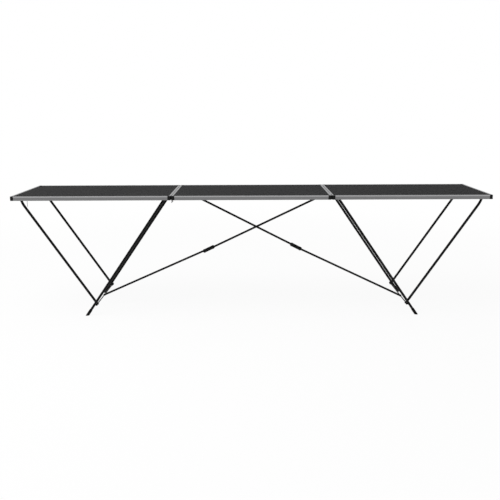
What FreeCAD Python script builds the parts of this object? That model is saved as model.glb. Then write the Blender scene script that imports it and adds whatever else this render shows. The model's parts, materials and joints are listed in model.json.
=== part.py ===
"""Folding trestle-type work table: three framed panels on two braced leg frames, tied by two stays.

Units are millimetres.  X runs along the table, Y runs from the front to the back, Z is up.
The origin is on the floor, under the middle of the top.
"""
import FreeCAD, Part
import math
import os
from FreeCAD import Vector

os.makedirs("parts", exist_ok=True)

# Table top
table_height = 780.0
table_depth = 600.0
centre_length = 997.0
outer_length = 998.5
panel_gap = 3.0

# Aluminium edge rail, and the board that slides into it
rail_height = 26.0
rail_wall = 1.4
rail_skin = 1.2
rail_flange = 11.5
rail_ledge = 8.0
rail_lip = 6.0
rail_step = 0.6
rail_step_drop = 7.0
board_thickness = 4.0
slide_gap = 0.2

# Plastic corner cap
cap_size = 20.0
cap_round = 6.0
tongue_length = 20.0
tongue_reach = 10.0

# Panel hinges: the left pair hangs below the rails, the right pair lies at the top
hinge_inset = 70.0
leaf_width = 60.0
leaf_thickness = 1.2
leaf_grip = 22.0
knuckle_radius = 3.0
knuckle_gap = 0.3
knuckle_count = 3
hinge_pin_radius = 1.5
running_gap = 0.05
relief_gap = 0.4
left_hinge_drop = 18.5
right_hinge_rise = 0.5
rivet_pitch = 40.0
rivet_drop = 17.0

# Rivets and screws
rivet_radius = 1.5
rivet_head_radius = 3.0
rivet_head_height = 1.2
screw_bite = 3.0
screw_tip_gap = 0.2
hole_gap = 0.05

# Leg frame: a bent tube that turns in two saddles under the outer panel
tube_radius = 8.0
tube_wall = 1.0
pivot_clearance = 1.3
leg_pivot_inset = 40.0
leg_splay = 527.0
leg_inset = 30.0
leg_bend = 50.0
foot_radius = 9.6
foot_length = 45.0
foot_floor = 10.0
leg_bar_rise = 92.0
leg_bar_radius = 3.5
leg_bar_gap = 0.3
lug_thickness = 3.0
lug_radius = 6.5
lug_wrap = 4.0

# Brace frame: a bent tube whose lower ends hook on the bar between the legs
brace_pivot_inset = 32.0
brace_step = 30.0
brace_bend = 70.0
hook_radius = 8.0
hook_above = 14.0
hook_below = 6.5
hook_gap = 0.3
plug_gap = 0.1
plug_length = 25.0

# Saddles that hold the frames' top bars
saddle_step = 90.0
saddle_width = 20.0
saddle_strap = 2.0
saddle_foot = 12.0

# Stays: an upper strut on the centre panel and a lower strut on the leg bar, side by side at the lock
stay_radius = 6.7
stay_wall = 1.0
stay_pivot_drop = 4.0
left_stay_inset = 26.5
right_stay_inset = 128.5
stay_line = -50.0
stay_spacing = 16.0
lock_reach = 786.0
lock_sag = 11.0
upper_lap = 40.0
lower_lap = 10.0
lock_length = 87.0
lock_height = 25.0
lock_waist = 23.0
lock_gap = 0.6
lock_wrap = 4.0
stay_eye_radius = 7.0
stay_eye_width = 11.0
stay_top_eye_radius = 7.0
stay_top_eye_width = 10.0
stay_plug = 12.0
stay_pin_radius = 3.0

# Bracket that carries an upper strut
bracket_length = 26.0
bracket_plate = 2.0
bracket_ear = 2.0
bracket_side_gap = 0.3
bracket_ear_radius = 8.0
bracket_foot = 10.0

# Wire catch beside the left front brace
catch_wire_radius = 1.25
catch_inset = 92.0
catch_drop = 43.0
catch_block = 14.0
catch_block_height = 12.0

# Worked-out places
rail_bottom = table_height - rail_height
rail_break = table_height - rail_step_drop
board_top = table_height - rail_skin
board_bottom = board_top - board_thickness
ledge_top = board_bottom - slide_gap
ledge_bottom = ledge_top - rail_skin
centre_edge = centre_length / 2
outer_start = centre_edge + panel_gap
outer_edge = outer_start + outer_length
hinge_x = centre_edge + panel_gap / 2
front = -table_depth / 2
back = table_depth / 2
left_axis_z = rail_bottom - left_hinge_drop
right_axis_z = table_height + right_hinge_rise
pivot_z = board_bottom - pivot_clearance - tube_radius
hinge_offset = table_depth / 2 - hinge_inset
leg_half_width = table_depth / 2 - leg_inset
brace_half_width = leg_half_width - brace_step
saddle_offset = brace_half_width - saddle_step
catch_line = (leg_half_width + brace_half_width) / 2
left_stay_top = centre_edge - left_stay_inset
right_stay_top = centre_edge - right_stay_inset
leg_pivot_x = hinge_x + leg_pivot_inset
foot_x = leg_pivot_x + leg_splay
brace_pivot_x = outer_edge - brace_pivot_inset
leg_bar_offset = tube_radius + leg_bar_radius + leg_bar_gap
stay_pivot_z = rail_bottom - stay_pivot_drop
overrun = rail_height

X_AXIS = Vector(1, 0, 0)
Y_AXIS = Vector(0, 1, 0)


def box(x_range, y_range, z_range):
    """A block between two values on each axis, given in either order."""
    low = Vector(min(x_range), min(y_range), min(z_range))
    high = Vector(max(x_range), max(y_range), max(z_range))
    size = high.sub(low)
    return Part.makeBox(size.x, size.y, size.z, low)


def rod(start, end, radius):
    """A solid round bar between two points."""
    way = end.sub(start)
    return Part.makeCylinder(radius, way.Length, start, way)


def cross_rod(x, z, y_range, radius):
    """A round bar that lies along Y."""
    return rod(Vector(x, min(y_range), z), Vector(x, max(y_range), z), radius)


def along(start, end, distance):
    """The point at a distance from start on the way to end."""
    way = end.sub(start)
    return start.add(way.multiply(distance / way.Length))


def bent_path(points, bend):
    """Straight runs through the points, with an arc of one radius at each corner."""
    edges = []
    here = points[0]
    for before, corner, after in zip(points, points[1:], points[2:]):
        to_before = before.sub(corner).normalize()
        to_after = after.sub(corner).normalize()
        half = to_before.getAngle(to_after) / 2
        setback = bend / math.tan(half)
        middle_way = to_before.add(to_after).normalize()
        middle = corner.add(middle_way.multiply(bend / math.sin(half) - bend))
        arc_start = corner.add(to_before.multiply(setback))
        arc_end = corner.add(to_after.multiply(setback))
        edges.append(Part.LineSegment(here, arc_start).toShape())
        edges.append(Part.Arc(arc_start, middle, arc_end).toShape())
        here = arc_end
    edges.append(Part.LineSegment(here, points[-1]).toShape())
    return Part.Wire(edges)


def swept(points, bend, radius):
    """A round bar along a bent path."""
    start_way = points[1].sub(points[0])
    ring = Part.Wire([Part.makeCircle(radius, points[0], start_way)])
    return bent_path(points, bend).makePipeShell([ring], True, False)


def bent_tube(points, bend, radius, wall):
    """A round tube along a bent path."""
    return swept(points, bend, radius).cut(swept(points, bend, radius - wall))


def save(name, *solids):
    """Write one node, a single solid or a group of separate ones."""
    shape = solids[0] if len(solids) == 1 else Part.makeCompound(list(solids))
    shape.exportStep("parts/" + name + ".step")


def rail(along_x, outer, inward, span):
    """An edge rail whose outer face lies at one place, with its flanges pointing inward."""
    lower_inside = rail_step + rail_wall
    section = [
        (0, table_height),
        (rail_flange, table_height),
        (rail_flange, board_top),
        (rail_wall, board_top),
        (rail_wall, ledge_top),
        (rail_ledge, ledge_top),
        (rail_ledge, ledge_bottom),
        (lower_inside, ledge_bottom),
        (lower_inside, rail_bottom + rail_skin),
        (rail_lip, rail_bottom + rail_skin),
        (rail_lip, rail_bottom),
        (rail_step, rail_bottom),
        (rail_step, rail_break),
        (0, rail_break),
    ]
    corners = []
    for depth, height in section + section[:1]:
        place = outer + inward * depth
        corners.append(Vector(span[0], place, height) if along_x else Vector(place, span[0], height))
    way = X_AXIS if along_x else Y_AXIS
    return Part.Face(Part.makePolygon(corners)).extrude(way * (span[1] - span[0]))


def corner_cap(x, x_in, y, y_in, board):
    """A corner post with a pocket for the board and a tongue into each of the two rails."""
    z_range = (rail_bottom, table_height)
    post = box((x, x + x_in * cap_size), (y, y + y_in * cap_size), z_range)
    outer_edges = []
    for edge in post.Edges:
        at = edge.CenterOfMass
        if abs(at.x - x) < slide_gap and abs(at.y - y) < slide_gap:
            outer_edges.append(edge)
    post = post.makeFillet(cap_round, outer_edges)
    tongue_z = (rail_bottom + rail_skin + slide_gap, ledge_bottom - slide_gap)
    tongue_in = rail_step + rail_wall + slide_gap
    tongue_end = cap_size + tongue_length
    near_x = x + x_in * tongue_in
    near_y = y + y_in * tongue_in
    long_tongue = box((near_x, x + x_in * tongue_end), (near_y, y + y_in * tongue_reach), tongue_z)
    end_tongue = box((near_x, x + x_in * tongue_reach), (near_y, y + y_in * tongue_end), tongue_z)
    room = board.BoundBox
    pocket = box(
        (room.XMin - slide_gap, room.XMax + slide_gap),
        (room.YMin - slide_gap, room.YMax + slide_gap),
        (board_bottom - slide_gap, board_top),
    )
    return post.fuse([long_tongue, end_tongue]).cut(pocket).removeSplitter()


def rivet(y, leaf_face, outward):
    """A rivet through a hinge leaf and the rail behind it, flush on the leaf and headed inside the rail."""
    z = table_height - rivet_drop
    seat = leaf_face - outward * (leaf_thickness + rail_step + rail_wall)
    shank = rod(Vector(leaf_face, y, z), Vector(seat, y, z), rivet_radius)
    head = rod(Vector(seat, y, z), Vector(seat - outward * rivet_head_height, y, z), rivet_head_radius)
    return shank.fuse(head).removeSplitter()


def rivet_hole(x_range, y):
    """The hole for a rivet through a leaf or a rail's wall."""
    z = table_height - rivet_drop
    return rod(Vector(min(x_range), y, z), Vector(max(x_range), y, z), rivet_radius + hole_gap)


def screw(x, y, seat_z, grip):
    """A screw that holds a foot of some thickness to the underside of the board."""
    head = rod(Vector(x, y, seat_z - rivet_head_height), Vector(x, y, seat_z), rivet_head_radius)
    shank = rod(Vector(x, y, seat_z), Vector(x, y, seat_z + grip + screw_bite), rivet_radius)
    return head.fuse(shank).removeSplitter()


def screw_hole(x, y):
    """The hole for a screw, from well below the board up to just past the screw's tip."""
    bottom = Vector(x, y, board_bottom - overrun)
    return rod(bottom, Vector(x, y, board_bottom + screw_bite + screw_tip_gap), rivet_radius + hole_gap)


def saddle(x, y):
    """A bent strap that holds a frame's top bar under the board."""
    y_range = (y - saddle_width / 2, y + saddle_width / 2)
    shell = tube_radius + saddle_strap
    bore = tube_radius + running_gap
    foot_end = shell + saddle_foot
    body = cross_rod(x, pivot_z, y_range, shell)
    body = body.cut(box((x - shell, x + shell), y_range, (pivot_z, pivot_z + shell)))
    walls = box((x - shell, x + shell), y_range, (pivot_z, board_bottom))
    feet = box((x - foot_end, x + foot_end), y_range, (board_bottom - saddle_strap, board_bottom))
    body = body.fuse([walls, feet])
    body = body.cut(cross_rod(x, pivot_z, y_range, bore))
    body = body.cut(box((x - bore, x + bore), y_range, (pivot_z, board_bottom)))
    for place in saddle_screws(x):
        body = body.cut(screw_hole(place, y))
    return body.removeSplitter()


def saddle_screws(x):
    """Where a saddle's two screws stand along the table."""
    reach = tube_radius + saddle_strap + saddle_foot / 2
    return (x - reach, x + reach)


# Each panel: a board in four rails with four corner caps
panels = {
    "left": (-outer_edge, -outer_start),
    "centre": (-centre_edge, centre_edge),
    "right": (outer_start, outer_edge),
}
board_inset = rail_wall + slide_gap
boards = {}
end_rails = {}
for panel, (low_x, high_x) in panels.items():
    boards[panel] = box(
        (low_x + board_inset, high_x - board_inset),
        (front + board_inset, back - board_inset),
        (board_bottom, board_top),
    )
    long_span = (low_x + cap_size, high_x - cap_size)
    end_span = (front + cap_size, back - cap_size)
    save(panel + "_front_rail", rail(True, front, 1, long_span))
    save(panel + "_rear_rail", rail(True, back, -1, long_span))
    end_rails[panel, -1] = rail(False, low_x, 1, end_span)
    end_rails[panel, 1] = rail(False, high_x, -1, end_span)
    caps = []
    for x, x_in in ((low_x, 1), (high_x, -1)):
        for y, y_in in ((front, 1), (back, -1)):
            caps.append(corner_cap(x, x_in, y, y_in, boards[panel]))
    save(panel + "_corner_caps", *caps)

# Panel hinges: per joint two leaves on the outer panel, two on the centre panel and two pins
rivets = {"left": [], "centre": [], "right": []}
joints = (("left", -1, left_axis_z, 1), ("right", 1, right_axis_z, -1))
for panel, side, axis_z, leaf_way in joints:
    axis_x = side * hinge_x
    segment = leaf_width / knuckle_count
    leaves = {"outer": [], "centre": []}
    pins = []
    for y in (-hinge_offset, hinge_offset):
        start_y = y - leaf_width / 2
        whole = (start_y, start_y + leaf_width)
        relief_y = (whole[0] - knuckle_gap, whole[1] + knuckle_gap)
        relief = cross_rod(axis_x, axis_z, relief_y, knuckle_radius + relief_gap)
        bore = cross_rod(axis_x, axis_z, whole, hinge_pin_radius + running_gap)
        for name, outward in (("outer", -side), ("centre", side)):
            rail_face = axis_x - outward * panel_gap / 2
            leaf_face = rail_face + outward * leaf_thickness
            far_z = rail_bottom + leaf_grip if leaf_way > 0 else table_height - leaf_grip
            leaf = box((rail_face, leaf_face), whole, (axis_z, far_z)).cut(relief)
            for number in range(knuckle_count):
                is_centre = number % 2 == 0
                if is_centre != (name == "centre"):
                    continue
                low_y = start_y + number * segment
                trim_low = knuckle_gap / 2 if number > 0 else 0
                trim_high = knuckle_gap / 2 if number < knuckle_count - 1 else 0
                span = (low_y + trim_low, low_y + segment - trim_high)
                neck_z = axis_z + leaf_way * (knuckle_radius + relief_gap)
                neck = box((rail_face, leaf_face), span, (axis_z, neck_z))
                leaf = leaf.fuse([neck, cross_rod(axis_x, axis_z, span, knuckle_radius)])
            owner = panel if name == "outer" else "centre"
            rail_key = (panel, -side) if name == "outer" else ("centre", side)
            for rivet_y in (y - rivet_pitch / 2, y + rivet_pitch / 2):
                hole = rivet_hole((rail_face - overrun, rail_face + overrun), rivet_y)
                leaf = leaf.cut(hole)
                end_rails[rail_key] = end_rails[rail_key].cut(hole)
                rivets[owner].append(rivet(rivet_y, leaf_face, outward))
            end_rails[rail_key] = end_rails[rail_key].cut(relief)
            leaves[name].append(leaf.cut(bore).removeSplitter())
        pins.append(cross_rod(axis_x, axis_z, whole, hinge_pin_radius))
    save(panel + "_hinge_outer_leaves", *leaves["outer"])
    save(panel + "_hinge_centre_leaves", *leaves["centre"])
    save(panel + "_hinge_pins", *pins)
for panel in panels:
    save(panel + "_hinge_rivets", *rivets[panel])
save("left_outer_end_rail", end_rails["left", -1])
save("left_inner_end_rail", end_rails["left", 1])
save("centre_left_end_rail", end_rails["centre", -1])
save("centre_right_end_rail", end_rails["centre", 1])
save("right_inner_end_rail", end_rails["right", -1])
save("right_outer_end_rail", end_rails["right", 1])

# Leg and brace frames, each turning in its own pair of saddles
screws = {"left": [], "centre": [], "right": []}
bars = {}
for panel, side in (("left", -1), ("right", 1)):
    pivot = Vector(side * leg_pivot_x, 0, pivot_z)
    foot = Vector(side * foot_x, 0, 0)
    leg_way = foot.sub(pivot).normalize()
    inner_way = Vector(side * leg_way.z, 0, -abs(leg_way.x))
    bar_root = along(foot, pivot, leg_bar_rise)
    bar = bar_root.add(inner_way * leg_bar_offset)
    bars[panel] = bar

    # Leg frame with its foot caps, and the bar between the legs in two welded lugs
    front_leg = Vector(0, -leg_half_width, 0)
    back_leg = Vector(0, leg_half_width, 0)
    tube_end = along(foot, pivot, foot_floor)
    leg_points = [tube_end + front_leg, pivot + front_leg, pivot + back_leg, tube_end + back_leg]
    leg_frame = bent_tube(leg_points, leg_bend, tube_radius, tube_wall)
    save(panel + "_leg_frame", leg_frame)
    feet = []
    lugs = []
    for shift in (front_leg, back_leg):
        below = foot.add(leg_way * foot_length)
        cap = rod(below + shift, along(foot, pivot, foot_length) + shift, foot_radius)
        cap = cap.cut(rod(tube_end + shift, pivot + shift, tube_radius + hole_gap))
        under = box(
            (foot.x - foot_length - overrun, foot.x + foot_length + overrun),
            (shift.y - foot_length, shift.y + foot_length),
            (-foot_length - overrun, 0),
        )
        feet.append(cap.cut(under).removeSplitter())
        toward = -1 if shift.y > 0 else 1
        lug_face = shift.y + toward * (tube_radius + lug_thickness)
        lug_back = shift.y + toward * (tube_radius - lug_wrap)
        lug_y = (lug_face, lug_back)
        lug = cross_rod(bar.x, bar.z, lug_y, lug_radius)
        lug = lug.fuse(cross_rod(bar_root.x, bar_root.z, lug_y, lug_radius))
        side_step = leg_way * lug_radius
        outline = [bar + side_step, bar_root + side_step, bar_root - side_step, bar - side_step]
        outline.append(outline[0])
        corners = [Vector(point.x, min(lug_y), point.z) for point in outline]
        web = Part.Face(Part.makePolygon(corners)).extrude(Y_AXIS * abs(lug_face - lug_back))
        lug = lug.fuse(web).cut(rod(foot + shift, pivot + shift, tube_radius))
        lugs.append(lug.cut(cross_rod(bar.x, bar.z, lug_y, leg_bar_radius)).removeSplitter())
    save(panel + "_foot_caps", *feet)
    save(panel + "_leg_bar_lugs", *lugs)
    bar_reach = leg_half_width - tube_radius
    bar_ends = (Vector(bar.x, -bar_reach, bar.z), Vector(bar.x, bar_reach, bar.z))
    save(panel + "_leg_bar", rod(bar_ends[0], bar_ends[1], leg_bar_radius))

    # Brace frame and the two open hooks in its lower ends
    hinge = Vector(side * brace_pivot_x, 0, pivot_z)
    brace_way = bar.sub(hinge).normalize()
    brace_end = bar.sub(brace_way * hook_above)
    front_brace = Vector(0, -brace_half_width, 0)
    back_brace = Vector(0, brace_half_width, 0)
    brace_points = [
        brace_end + front_brace, hinge + front_brace, hinge + back_brace, brace_end + back_brace
    ]
    save(panel + "_brace_frame", bent_tube(brace_points, brace_bend, tube_radius, tube_wall))
    hooks = []
    for shift in (front_brace, back_brace):
        plug_end = brace_end.sub(brace_way * plug_length)
        nose = bar.add(brace_way * hook_below)
        hook = rod(brace_end + shift, nose + shift, hook_radius)
        hook = hook.fuse(rod(plug_end + shift, brace_end + shift, tube_radius - tube_wall - plug_gap))
        hook_y = (shift.y - hook_radius, shift.y + hook_radius)
        mouth = leg_bar_radius + hook_gap
        hook = hook.cut(cross_rod(bar.x, bar.z, hook_y, mouth))
        hook = hook.cut(box((bar.x, bar.x + side * overrun), hook_y, (bar.z - mouth, bar.z + mouth)))
        hooks.append(hook.removeSplitter())
    save(panel + "_brace_hooks", *hooks)

    # Saddles and their screws
    for frame_name, x in (("leg", pivot.x), ("brace", hinge.x)):
        pair = []
        for y in (-saddle_offset, saddle_offset):
            pair.append(saddle(x, y))
            for place in saddle_screws(x):
                screws[panel].append(screw(place, y, board_bottom - saddle_strap, saddle_strap))
                boards[panel] = boards[panel].cut(screw_hole(place, y))
        save(panel + "_" + frame_name + "_saddles", *pair)

# Stays: the left one reaches from the left leg bar to the right part of the centre panel, the right one
# the other way round
stays = (("left", -1, left_stay_top, 1), ("right", 1, right_stay_top, -1))
for panel, side, top_reach, back_way in stays:
    upper_y = stay_line + back_way * stay_spacing / 2
    lower_y = upper_y + back_way * stay_spacing
    top = Vector(-side * top_reach, 0, stay_pivot_z)
    low = Vector(bars[panel].x, 0, bars[panel].z)
    line = top.sub(low).normalize()
    sag_way = Vector(line.z, 0, -line.x) if line.x > 0 else Vector(-line.z, 0, line.x)
    lock = low + line * lock_reach + sag_way * lock_sag
    upper_way = lock.sub(top).normalize()
    lower_way = lock.sub(low).normalize()

    # Upper strut with a solid eye on the bracket's pin
    shift = Vector(0, upper_y, 0)
    upper_end = lock + upper_way * upper_lap + shift
    eye_y = (upper_y - stay_top_eye_width / 2, upper_y + stay_top_eye_width / 2)
    upper = rod(top + shift, upper_end, stay_radius)
    upper = upper.fuse(cross_rod(top.x, top.z, eye_y, stay_top_eye_radius))
    upper = upper.cut(rod(along(top + shift, upper_end, stay_plug), upper_end, stay_radius - stay_wall))
    bore_y = (upper_y - stay_radius, upper_y + stay_radius)
    upper = upper.cut(cross_rod(top.x, top.z, bore_y, stay_pin_radius + running_gap))
    save(panel + "_stay_upper", upper.removeSplitter())

    # Lock plate on the upper strut's side, with a round lobe at each end
    plate_near = upper_y + back_way * (stay_radius - lock_wrap)
    plate_far = lower_y - back_way * (stay_radius + lock_gap)
    plate_y = (plate_near, plate_far)
    lobe = lock_length / 2 - lock_height / 2
    plate = None
    for lobe_way in (-1, 1):
        centre = lock + upper_way * (lobe_way * lobe)
        disc = cross_rod(centre.x, centre.z, plate_y, lock_height / 2)
        plate = disc if plate is None else plate.fuse(disc)
    rise = Vector(-upper_way.z, 0, upper_way.x) * (lock_waist / 2)
    reach = upper_way * lobe
    outline = [lock + reach + rise, lock + reach - rise, lock - reach - rise, lock - reach + rise]
    outline.append(outline[0])
    corners = [Vector(point.x, min(plate_y), point.z) for point in outline]
    web = Part.Face(Part.makePolygon(corners)).extrude(Y_AXIS * abs(plate_y[1] - plate_y[0]))
    plate = plate.fuse(web).cut(rod(top + shift, upper_end + upper_way * upper_lap, stay_radius))
    save(panel + "_stay_lock", plate.removeSplitter())

    # Lower strut with an eye that turns on the leg bar
    shift = Vector(0, lower_y, 0)
    lower_end = lock + lower_way * lower_lap + shift
    eye_y = (lower_y - stay_eye_width / 2, lower_y + stay_eye_width / 2)
    lower = rod(low + shift, lower_end, stay_radius).fuse(cross_rod(low.x, low.z, eye_y, stay_eye_radius))
    lower = lower.cut(rod(along(low + shift, lower_end, stay_plug), lower_end, stay_radius - stay_wall))
    bore_y = (lower_y - stay_radius, lower_y + stay_radius)
    lower = lower.cut(cross_rod(low.x, low.z, bore_y, leg_bar_radius + running_gap))
    save(panel + "_stay_lower", lower.removeSplitter())

    # Bracket under the centre board, its pin and its screws
    ear_in = stay_radius + bracket_side_gap
    ear_out = ear_in + bracket_ear
    foot_out = ear_out + bracket_foot
    base_z = (board_bottom - bracket_plate, board_bottom)
    base_x = (top.x - bracket_length / 2, top.x + bracket_length / 2)
    bracket = box(base_x, (upper_y - foot_out, upper_y + foot_out), base_z)
    for way in (-1, 1):
        ear_y = (upper_y + way * ear_in, upper_y + way * ear_out)
        ear_x = (top.x - bracket_ear_radius, top.x + bracket_ear_radius)
        ear = box(ear_x, ear_y, (stay_pivot_z, board_bottom))
        bracket = bracket.fuse([ear, cross_rod(top.x, top.z, ear_y, bracket_ear_radius)])
    for way in (-1, 1):
        screw_y = upper_y + way * (ear_out + bracket_foot / 2)
        for place in (top.x - bracket_ear_radius, top.x + bracket_ear_radius):
            bracket = bracket.cut(screw_hole(place, screw_y))
            boards["centre"] = boards["centre"].cut(screw_hole(place, screw_y))
            screws["centre"].append(screw(place, screw_y, board_bottom - bracket_plate, bracket_plate))
    pin_y = (upper_y - ear_out, upper_y + ear_out)
    pin = cross_rod(top.x, top.z, pin_y, stay_pin_radius)
    save(panel + "_stay_bracket", bracket.cut(pin).removeSplitter())
    save(panel + "_stay_pin", pin)

# Wire catch beside the left front brace, clamped in a small block under the board
catch_x = -(outer_edge - catch_inset)
wire_top = Vector(catch_x, -catch_line, board_bottom)
wire_end = Vector(catch_x, -catch_line, rail_bottom - catch_drop)
half_block = catch_block / 2
block = box(
    (catch_x - half_block, catch_x + half_block),
    (-catch_line - half_block / 2, -catch_line + half_block / 2),
    (board_bottom - catch_block_height, board_bottom),
)
save("left_catch_block", block.cut(rod(wire_top, wire_end, catch_wire_radius)))
save("left_catch_wire", rod(wire_top, wire_end, catch_wire_radius))

for panel in panels:
    save(panel + "_board", boards[panel])
    save(panel + "_screws", *screws[panel])
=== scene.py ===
"""Looks of a long folding work table: three framed boards, splayed tube legs with braces, and crossed stays.

Everything is in metres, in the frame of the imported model: X along the table, Y to the back, Z up.
"""
import json
import math
import bmesh
import bpy
from mathutils import Matrix, Vector

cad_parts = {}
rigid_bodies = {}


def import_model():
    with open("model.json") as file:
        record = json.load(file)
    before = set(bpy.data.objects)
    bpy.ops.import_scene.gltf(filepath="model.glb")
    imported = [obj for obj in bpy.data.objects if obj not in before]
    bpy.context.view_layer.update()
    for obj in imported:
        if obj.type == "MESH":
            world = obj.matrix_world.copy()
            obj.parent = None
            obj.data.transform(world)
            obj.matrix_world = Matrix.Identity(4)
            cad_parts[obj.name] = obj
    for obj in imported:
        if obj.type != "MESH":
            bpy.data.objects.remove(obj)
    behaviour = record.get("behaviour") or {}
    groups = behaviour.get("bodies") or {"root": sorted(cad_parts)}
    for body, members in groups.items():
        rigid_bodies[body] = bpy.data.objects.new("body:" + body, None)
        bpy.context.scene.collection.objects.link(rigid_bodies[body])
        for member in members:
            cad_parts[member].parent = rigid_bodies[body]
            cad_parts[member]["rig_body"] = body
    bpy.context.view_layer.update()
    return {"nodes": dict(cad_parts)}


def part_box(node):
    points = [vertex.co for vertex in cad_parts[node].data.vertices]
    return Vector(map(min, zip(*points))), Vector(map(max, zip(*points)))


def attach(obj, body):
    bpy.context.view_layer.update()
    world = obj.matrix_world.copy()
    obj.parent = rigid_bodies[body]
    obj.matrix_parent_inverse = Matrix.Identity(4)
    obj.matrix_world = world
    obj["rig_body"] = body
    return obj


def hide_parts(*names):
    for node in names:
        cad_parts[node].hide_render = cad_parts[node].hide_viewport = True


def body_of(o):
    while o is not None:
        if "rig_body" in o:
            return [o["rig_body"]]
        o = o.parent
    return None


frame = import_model()
nodes = frame["nodes"]
scene = bpy.context.scene


# Boards: three thin fibreboards faced with dark grey laminate.  Each one slides into the slots of its four
# rails before the last rail and the caps close the frame.  The laminate has a fine pebble grain, and long
# faint streaks where it was pressed.
class Flow:
    """A socket in a node tree.  Sums, differences and products of flows add their Math nodes."""

    def __init__(self, tree, socket=None):
        self.tree = tree
        self.socket = socket

    def node(self, kind, settings, inputs, output=0):
        made = self.tree.nodes.new("ShaderNode" + kind)
        for name, value in settings.items():
            setattr(made, name, value)
        for name, value in inputs.items():
            self.feed(made.inputs[name], value)
        return Flow(self.tree, made.outputs[output])

    def feed(self, target, value):
        if isinstance(value, Flow):
            self.tree.links.new(value.socket, target)
        else:
            target.default_value = value

    def maths(self, operation, first, second):
        return self.node("Math", {"operation": operation}, {0: first, 1: second})

    def __add__(self, other):
        return self.maths("ADD", self, other)

    def __sub__(self, other):
        return self.maths("SUBTRACT", self, other)

    def __rsub__(self, other):
        return self.maths("SUBTRACT", other, self)

    def __mul__(self, other):
        return self.maths("MULTIPLY", self, other)

    __radd__ = __add__
    __rmul__ = __mul__


def new_finish(name):
    """An empty material: its node tree, the surface's own coordinates, and its shader."""
    material = bpy.data.materials.new(name)
    material.use_nodes = True
    flow = Flow(material.node_tree)
    place = flow.node("TexCoord", {}, {}, output="Object")
    shader = material.node_tree.nodes["Principled BSDF"]
    return material, flow, place, shader


def grain(flow, place, scale, stretch=(1, 1, 1), detail=3):
    """Noise of a number of grains per metre, drawn out along an axis by a small stretch value."""
    spread = flow.node("Mapping", {}, {"Vector": place, "Scale": stretch})
    return flow.node("TexNoise", {}, {"Vector": spread, "Scale": scale, "Detail": detail})


noise_middle = 0.5


def wider(noise, gain):
    """Noise drawn out from its middle, so that more of the colours on either side show."""
    return noise * gain + noise_middle * (1 - gain)


def between(flow, factor, dark, light):
    """A colour between two others.  The Mix node takes colours at inputs 6 and 7, and output 2 gives one."""
    colours = {"Factor": factor, 6: (*dark, 1), 7: (*light, 1)}
    return flow.node("Mix", {"data_type": "RGBA"}, colours, output=2)


def roughen(flow, shader, noise, base, spread):
    """A roughness that varies with a noise."""
    flow.feed(shader.inputs["Roughness"], noise * spread + base)


def raise_surface(flow, shader, height, distance, strength):
    """A bump on the shader's normal."""
    bump = flow.node("Bump", {}, {"Height": height, "Distance": distance, "Strength": strength})
    flow.feed(shader.inputs["Normal"], bump)


def dress(material, *names):
    """Give CAD nodes a finish."""
    for name in names:
        slots = nodes[name].data.materials
        slots.clear()
        slots.append(material)


def laminate():
    """Dark grey, with pebbles and long streaks over wide clouds."""
    streak_share = 0.45
    pebble_share = 0.30
    cloud_share = 0.25
    material, flow, place, shader = new_finish("dark_laminate")
    pebbles = grain(flow, place, scale=700)
    streaks = grain(flow, place, scale=60, stretch=(0.05, 1, 1))
    clouds = grain(flow, place, scale=3)
    tone = wider(streaks, gain=2) * streak_share + wider(pebbles, gain=1.6) * pebble_share
    tone = tone + clouds * cloud_share
    colour = between(flow, tone, dark=(0.0155, 0.0155, 0.0160), light=(0.0300, 0.0300, 0.0306))
    flow.feed(shader.inputs["Base Color"], colour)
    roughen(flow, shader, pebbles, base=0.72, spread=0.2)
    shader.inputs["Specular IOR Level"].default_value = 0.03
    raise_surface(flow, shader, pebbles, distance=0.0003, strength=0.5)
    return material


dress(laminate(), "left_board", "centre_board", "right_board")


# Edge rails: aluminium extrusions, satin anodised.  A band along the top of the face stands a little proud
# and is smoother, and the rest is set back and duller; the band is also painted lighter as a painted
# reflection.
# The top is painted darker as painted shade, and is rougher.  Each rail is sawn to length, its edges are
# eased, and it is pushed on its board.
rail_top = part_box("centre_front_rail")[1].z
rail_band = 0.007
rail_break = rail_top - rail_band
rail_blur = 0.0004
# Depth below the rail's top over which the top is painted darker as painted shade.
shaded_top_depth = 0.0003
same_point = 0.000001
flat_angle = math.radians(1)
ease_angle = math.radians(40)
shade_angle = math.radians(50)


def eased(name, width, material):
    """A copy of a CAD node with its sharp edges rounded, which stands for the node and moves with it."""
    cad = nodes[name]
    shape = bmesh.new()
    shape.from_mesh(cad.data)
    bmesh.ops.remove_doubles(shape, verts=shape.verts, dist=same_point)
    bmesh.ops.dissolve_limit(shape, angle_limit=flat_angle, verts=shape.verts, edges=shape.edges)
    sharp = [edge for edge in shape.edges if edge.calc_face_angle() > ease_angle]
    bmesh.ops.bevel(
        shape, geom=sharp, offset=width, affect="EDGES", segments=3, profile=0.5, material=-1,
        clamp_overlap=True,
    )
    mesh = bpy.data.meshes.new(name + "_eased")
    shape.to_mesh(mesh)
    shape.free()
    mesh.shade_smooth()
    mesh.set_sharp_from_angle(angle=shade_angle)
    mesh.materials.clear()
    mesh.materials.append(material)
    piece = bpy.data.objects.new(name + "_eased", mesh)
    scene.collection.objects.link(piece)
    piece.modifiers.new("even_shading", "WEIGHTED_NORMAL").keep_sharp = True
    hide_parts(name)
    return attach(piece, body_of(cad)[0])


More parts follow.
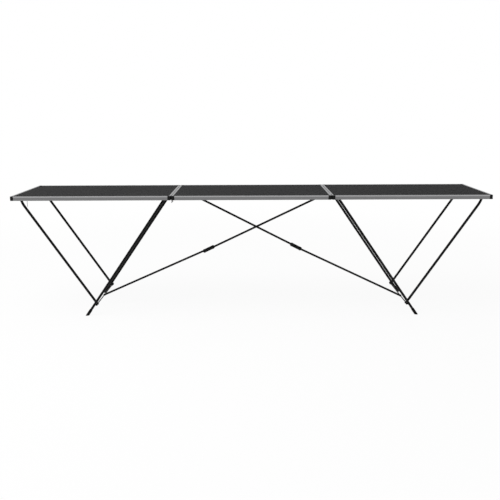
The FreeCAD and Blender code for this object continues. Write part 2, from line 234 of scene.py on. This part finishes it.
def anodised(name, brushed_along):
    """Satin metal brushed along the rail, with a painted reflection that lightens the band and painted shade
    that darkens the top.
    """
    # Shares of the tone: the band's painted reflection, the top's painted shade, the brush and the clouds.
    band_reflection_share = 0.75
    top_shade_share = 0.33
    brush_share = 0.15
    cloud_share = 0.10
    satin = 0.5
    band_polish = 0.1
    top_dulling = 0.1
    brush_spread = 0.12
    material, flow, place, shader = new_finish(name)
    brush = grain(flow, place, scale=500, stretch=brushed_along)
    clouds = grain(flow, place, scale=9)
    height = flow.node("SeparateXYZ", {}, {"Vector": place}, output="Z")
    smooth_step = {"interpolation_type": "SMOOTHSTEP"}
    # The band mask: the band's lighter colour is a painted reflection, and its lower roughness is the
    # finish.
    band = {"Value": height, "From Min": rail_break - rail_blur, "From Max": rail_break + rail_blur}
    upper = flow.node("MapRange", smooth_step, band)
    # The top mask: the top is painted darker as painted shade, and made rougher.
    crown = {"Value": height, "From Min": rail_top - shaded_top_depth, "From Max": rail_top}
    shaded_top = flow.node("MapRange", smooth_step, crown)
    # Tone: painted reflection on the band, minus painted shade on the top, plus the brush and clouds of the
    # metal.
    tone = upper * band_reflection_share - shaded_top * top_shade_share + wider(brush, gain=2) * brush_share
    tone = tone + clouds * cloud_share
    colour = between(flow, tone, dark=(0.188, 0.188, 0.191), light=(0.390, 0.390, 0.395))
    flow.feed(shader.inputs["Base Color"], colour)
    dullness = satin - upper * band_polish + shaded_top * top_dulling + brush * brush_spread
    flow.feed(shader.inputs["Roughness"], dullness)
    shader.inputs["Metallic"].default_value = 1
    raise_surface(flow, shader, brush, distance=0.0001, strength=0.25)
    return material


panels = ("left", "centre", "right")
rail_ease = 0.00028
along_table = anodised("anodised_along", brushed_along=(0.02, 1, 1))
across_table = anodised("anodised_across", brushed_along=(1, 0.02, 1))
for panel in panels:
    eased(panel + "_front_rail", rail_ease, along_table)
    eased(panel + "_rear_rail", rail_ease, along_table)
for rail in ("left_outer", "left_inner", "centre_left", "centre_right", "right_inner", "right_outer"):
    eased(rail + "_end_rail", rail_ease, across_table)


# Corner caps: black moulded plastic blocks that close each corner, with a tongue pushed into either rail.
# The wire's block is the same plastic.  The mould leaves a fine spark grain.
def moulded_black():
    """Black plastic with a spark grain."""
    material, flow, place, shader = new_finish("moulded_black")
    spark = grain(flow, place, scale=1800)
    clouds = grain(flow, place, scale=40)
    colour = between(flow, clouds, dark=(0.004, 0.004, 0.004), light=(0.008, 0.008, 0.008))
    flow.feed(shader.inputs["Base Color"], colour)
    roughen(flow, shader, spark, base=0.45, spread=0.2)
    shader.inputs["Specular IOR Level"].default_value = 0.12
    raise_surface(flow, shader, spark, distance=0.0001, strength=0.3)
    return material


moulded_ease = 0.0005
black_plastic = moulded_black()
for panel in panels:
    eased(panel + "_corner_caps", moulded_ease, black_plastic)
eased("left_catch_block", moulded_ease, black_plastic)


# Panel hinges: pressed steel leaves with rolled knuckles on steel pins, zinc plated.  The leaves are held
# to the end rails by aluminium rivets, two to a leaf.
def plated(name, dark, light):
    """Plated steel, with the small facets of the plating and a fine rub."""
    facet_share = 0.5
    rub_share = 0.5
    material, flow, place, shader = new_finish(name)
    spangle = flow.node("TexVoronoi", {}, {"Vector": place, "Scale": 260}, output="Color")
    facets = flow.node("SeparateColor", {}, {"Color": spangle})
    rub = grain(flow, place, scale=300)
    colour = between(flow, facets * facet_share + rub * rub_share, dark, light)
    flow.feed(shader.inputs["Base Color"], colour)
    roughen(flow, shader, rub, base=0.34, spread=0.2)
    shader.inputs["Metallic"].default_value = 1
    return material


pressed_ease = 0.00025
zinc = plated("zinc_plate", dark=(0.24, 0.24, 0.25), light=(0.42, 0.42, 0.43))
sides = ("left", "right")
for side in sides:
    eased(side + "_hinge_outer_leaves", pressed_ease, zinc)
    eased(side + "_hinge_centre_leaves", pressed_ease, zinc)
    eased(side + "_hinge_pins", pressed_ease, zinc)


def rivet_metal():
    """Bare aluminium."""
    material, flow, place, shader = new_finish("rivet_aluminium")
    turned = grain(flow, place, scale=1500)
    colour = between(flow, turned, dark=(0.40, 0.40, 0.40), light=(0.52, 0.52, 0.52))
    flow.feed(shader.inputs["Base Color"], colour)
    roughen(flow, shader, turned, base=0.3, spread=0.2)
    shader.inputs["Metallic"].default_value = 1
    return material


rivet_aluminium = rivet_metal()
for panel in panels:
    eased(panel + "_hinge_rivets", pressed_ease, rivet_aluminium)


# Leg frames and brace frames: thin steel tube bent to a square U and powder coated black.  The top bar of
# each turns in two saddles under the board.  The coat has a slight orange peel.
def powder_coat():
    """Black satin coat with an orange peel and faint rubbed patches."""
    material, flow, place, shader = new_finish("black_powder_coat")
    peel = grain(flow, place, scale=900, detail=2)
    rub = grain(flow, place, scale=25)
    colour = between(flow, rub, dark=(0.0018, 0.0018, 0.0019), light=(0.0045, 0.0045, 0.0047))
    flow.feed(shader.inputs["Base Color"], colour)
    roughen(flow, shader, rub, base=0.36, spread=0.2)
    shader.inputs["Specular IOR Level"].default_value = 0.11
    raise_surface(flow, shader, peel, distance=0.0001, strength=0.3)
    return material


black_coat = powder_coat()
for side in sides:
    dress(black_coat, side + "_leg_frame", side + "_brace_frame", side + "_leg_bar")
    eased(side + "_leg_bar_lugs", pressed_ease, black_coat)
    eased(side + "_leg_saddles", pressed_ease, black_coat)
    eased(side + "_brace_saddles", pressed_ease, black_coat)
    eased(side + "_brace_hooks", moulded_ease, black_plastic)


# Stays: two thin tubes each, in the same black coat, which meet side by side at a moulded lock.  The upper
# one turns on a pin in a pressed bracket under the centre board, and the lower one on the bar of the legs.
for side in sides:
    dress(black_coat, side + "_stay_upper", side + "_stay_lower")
    eased(side + "_stay_lock", moulded_ease, black_plastic)
    eased(side + "_stay_bracket", pressed_ease, black_coat)
    eased(side + "_stay_pin", pressed_ease, zinc)


# Screws and wire: zinc-plated pan-head screws with a cross recess hold the saddles and brackets to the
# boards, driven from below.  The catch is a short piece of dark spring wire, pressed into its block.
recess_span = 0.0030
recess_arm = recess_span / 3
recess_depth = 0.0007
head_ease = 0.0005
facing_down = -0.99


def points_of(made):
    """The points among what an operator made."""
    return [part for part in made["geom"] if isinstance(part, bmesh.types.BMVert)]


def cross_punch(crowns):
    """An object with a cross-shaped prism at each place, half below it and half above."""
    tool = bmesh.new()
    bmesh.ops.create_grid(tool, x_segments=3, y_segments=3, size=recess_span / 2)
    corners = []
    for face in tool.faces:
        middle = face.calc_center_median()
        if min(abs(middle.x), abs(middle.y)) > recess_arm / 2:
            corners.append(face)
    bmesh.ops.delete(tool, geom=corners, context="FACES")
    bmesh.ops.translate(tool, verts=tool.verts, vec=(0, 0, -recess_depth))
    raised = points_of(bmesh.ops.extrude_face_region(tool, geom=tool.faces[:]))
    bmesh.ops.translate(tool, verts=raised, vec=(0, 0, 2 * recess_depth))
    bmesh.ops.recalc_face_normals(tool, faces=tool.faces)
    pattern_points = tool.verts[:]
    pattern = pattern_points + tool.edges[:] + tool.faces[:]
    for crown in crowns:
        copied = points_of(bmesh.ops.duplicate(tool, geom=pattern))
        bmesh.ops.translate(tool, verts=copied, vec=crown)
    bmesh.ops.delete(tool, geom=pattern_points, context="VERTS")
    mesh = bpy.data.meshes.new("recess_punch")
    tool.to_mesh(mesh)
    tool.free()
    punch = bpy.data.objects.new("recess_punch", mesh)
    scene.collection.objects.link(punch)
    return punch


def cross_recessed(screws):
    """Sink a cross into the lower face of each screw's head."""
    heads = bmesh.new()
    heads.from_mesh(screws.data)
    lowest = min(vertex.co.z for vertex in heads.verts)
    crowns = [face.calc_center_median() for face in heads.faces if face.normal.z < facing_down]
    crowns = [crown for crown in crowns if crown.z < lowest + recess_depth / 10]
    heads.free()
    punch = cross_punch(crowns)
    screws.modifiers.clear()
    cut = screws.modifiers.new("recess", "BOOLEAN")
    cut.object = punch
    cut.solver = "EXACT"
    graph = bpy.context.evaluated_depsgraph_get()
    finished = bpy.data.meshes.new_from_object(screws.evaluated_get(graph))
    screws.modifiers.clear()
    screws.data = finished
    screws.modifiers.new("even_shading", "WEIGHTED_NORMAL").keep_sharp = True
    bpy.data.objects.remove(punch)


for panel in panels:
    cross_recessed(eased(panel + "_screws", head_ease, zinc))
spring_wire = plated("spring_wire", dark=(0.020, 0.020, 0.021), light=(0.050, 0.050, 0.052))
dress(spring_wire, "left_catch_wire")


# Feet: black rubber caps pushed over the ends of the legs and moulded to stand flat on the floor.  Their
# lower rims are rounded, and dust greys them there.
dust_height = 0.012


def rubber():
    """Black rubber, dusty near the floor."""
    material, flow, place, shader = new_finish("foot_rubber")
    pores = grain(flow, place, scale=1200)
    height = flow.node("SeparateXYZ", {}, {"Vector": place}, output="Z")
    dust = flow.node("MapRange", {}, {"Value": height, "From Min": dust_height, "From Max": 0.0})
    colour = between(flow, dust * pores, dark=(0.005, 0.005, 0.005), light=(0.03, 0.029, 0.028))
    flow.feed(shader.inputs["Base Color"], colour)
    roughen(flow, shader, pores, base=0.7, spread=0.2)
    shader.inputs["Specular IOR Level"].default_value = 0.1
    raise_surface(flow, shader, pores, distance=0.0001, strength=0.3)
    return material


foot_ease = 0.0009
foot_rubber = rubber()
for side in sides:
    eased(side + "_foot_caps", foot_ease, foot_rubber)


# Floor, light and camera: a white sweep that keeps a faint shadow near the table and fades to plain white,
# one broad lamp above to the left, and a camera in front at about chest height.
floor_reach = 30
near_glow = 0.92
fade_start = 1.5
fade_end = 5
sky_fill = (0.62, 0.62, 0.62)
plain_white = (1, 1, 1)
lamp_place = Vector((-2.4, -1.6, 4.2))
lamp_aim = Vector((0, 0, 0.6))
camera_place = Vector((-0.010, -4.380, 1.321))
camera_down = math.radians(12.23)
camera_roll = math.radians(-0.22)
level_view = math.radians(90)


def seen_directly(flow):
    """One for rays from the camera, off glossy surfaces or through clear ones, and zero for the others."""
    kinds = ("Is Camera Ray", "Is Glossy Ray", "Is Transmission Ray")
    from_camera, off_gloss, through = [flow.node("LightPath", {}, {}, output=kind) for kind in kinds]
    return from_camera + off_gloss + through


sweep = bmesh.new()
bmesh.ops.create_grid(sweep, x_segments=1, y_segments=1, size=floor_reach)
ground = bpy.data.meshes.new("floor")
sweep.to_mesh(ground)
sweep.free()
floor = bpy.data.objects.new("floor", ground)
scene.collection.objects.link(floor)
white, flow, place, paint = new_finish("white_floor")
paint.inputs["Base Color"].default_value = (0.8, 0.8, 0.8, 1)
paint.inputs["Roughness"].default_value = 0.9
painted = Flow(white.node_tree, paint.outputs[0])
glow = flow.node("Emission", {}, {"Strength": 1})
reach = flow.node("VectorMath", {"operation": "LENGTH"}, {0: place}, output="Value")
fade = {"Value": reach, "From Min": fade_start, "From Max": fade_end}
far = flow.node("MapRange", {"interpolation_type": "SMOOTHSTEP"}, fade)
glowing = seen_directly(flow) * (far * (1 - near_glow) + near_glow)
mixed = flow.node("MixShader", {}, {0: glowing, 1: painted, 2: glow})
flow.feed(white.node_tree.nodes["Material Output"].inputs["Surface"], mixed)
ground.materials.append(white)

scene.view_settings.view_transform = "Standard"
world = bpy.data.worlds.new("studio")
scene.world = world
world.use_nodes = True
flow = Flow(world.node_tree)
sky = world.node_tree.nodes["Background"]
flow.feed(sky.inputs["Color"], between(flow, seen_directly(flow), dark=sky_fill, light=plain_white))

lamp = bpy.data.lights.new("key", "AREA")
lamp.energy = 160
lamp.size = 4
key = bpy.data.objects.new("key", lamp)
scene.collection.objects.link(key)
key.location = lamp_place
key.rotation_euler = (lamp_aim - lamp_place).to_track_quat("-Z", "Y").to_euler()

view = bpy.data.cameras.new("camera")
view.sensor_width = 36
view.lens = 47.63
camera = bpy.data.objects.new("camera", view)
scene.collection.objects.link(camera)
tilt = Matrix.Rotation(level_view - camera_down, 4, "X")
roll = Matrix.Rotation(camera_roll, 4, "Z")
camera.matrix_world = Matrix.Translation(camera_place) @ tilt @ roll
scene.camera = camera
